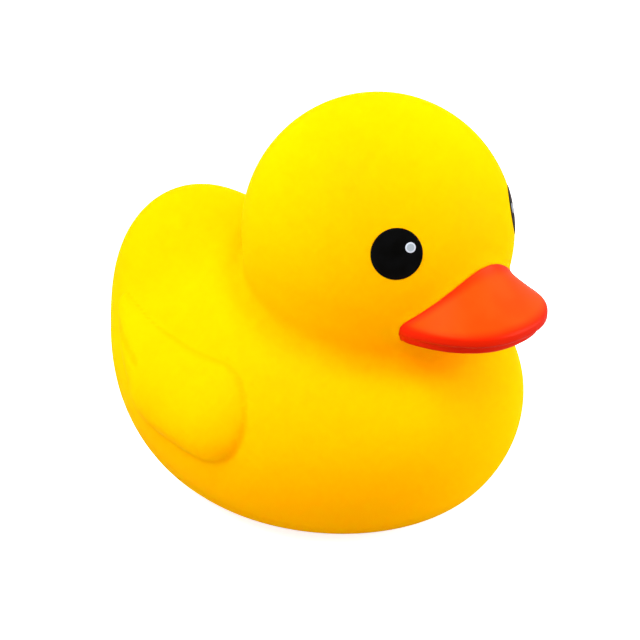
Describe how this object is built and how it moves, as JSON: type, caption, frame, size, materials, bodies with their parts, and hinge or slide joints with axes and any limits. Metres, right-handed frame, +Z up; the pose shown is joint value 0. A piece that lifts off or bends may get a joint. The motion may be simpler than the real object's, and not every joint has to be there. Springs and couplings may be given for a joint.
{
  "type": "rubber duck",
  "caption": "Hollow yellow vinyl bath duck with an orange bill, a flat base to stand on and a whistle pressed into the base.",
  "frame": {"origin": "middle of the duck's outline seen from above, on the plane that it stands on", "axes": "+Z up, -Y the way the duck looks, +X to the duck's left, mirror plane x = 0"},
  "size_m": [0.0732, 0.0975, 0.0783],
  "materials": {
    "vinyl": "soft matte yellow vinyl, coloured right through",
    "bill_paint": "satin orange paint sprayed on the bill",
    "eye_paint": "black paint printed as a round eye",
    "eye_light": "pale grey paint dot printed over the black eye",
    "squeaker": "natural white plastic as moulded",
    "reed": "thin red plastic plate"
  },
  "bodies": {
    "root": {"duck_shell": "vinyl", "squeaker_body": "squeaker", "squeaker_reed": "reed"}
  },
  "joints": []
}
